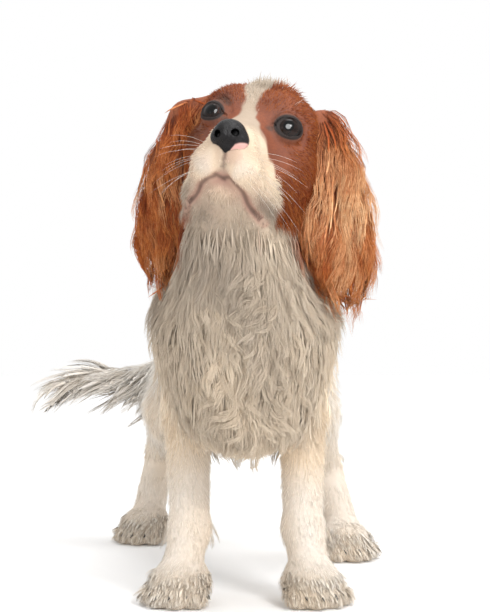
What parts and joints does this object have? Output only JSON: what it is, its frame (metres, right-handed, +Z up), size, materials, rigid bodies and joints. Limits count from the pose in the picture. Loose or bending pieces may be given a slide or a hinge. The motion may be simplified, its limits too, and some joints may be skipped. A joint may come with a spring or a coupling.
{
  "type": "cavalier king charles spaniel",
  "caption": "Life-size still model of a standing spaniel with raised, tilted head, long feathered ears, chest ruff and plumed tail.",
  "frame": {"origin": "centre of the bounding box's footprint, on the floor under the paws", "axes": "+Z up; the animal faces -Y; +X is its left side"},
  "size_m": [0.3478, 0.527, 0.4238],
  "materials": {
    "head": "soft, silky fur",
    "nose": "moist, finely pebbled",
    "eye_left": "glossy, wet",
    "eye_right": "glossy, wet",
    "ear_left": "soft, silky fur",
    "ear_right": "soft, silky fur",
    "neck": "soft, silky fur",
    "torso": "soft, silky fur",
    "foreleg_left": "soft, silky fur",
    "foreleg_right": "soft, silky fur",
    "hindleg_left": "soft, silky fur",
    "hindleg_right": "soft, silky fur",
    "tail": "soft, silky fur"
  },
  "bodies": {
    "root": {"head": "head", "nose": "nose", "eye_left": "eye_left", "eye_right": "eye_right", "ear_left": "ear_left", "ear_right": "ear_right", "neck": "neck", "torso": "torso", "foreleg_left": "foreleg_left", "foreleg_right": "foreleg_right", "hindleg_left": "hindleg_left", "hindleg_right": "hindleg_right", "tail": "tail"}
  },
  "joints": []
}
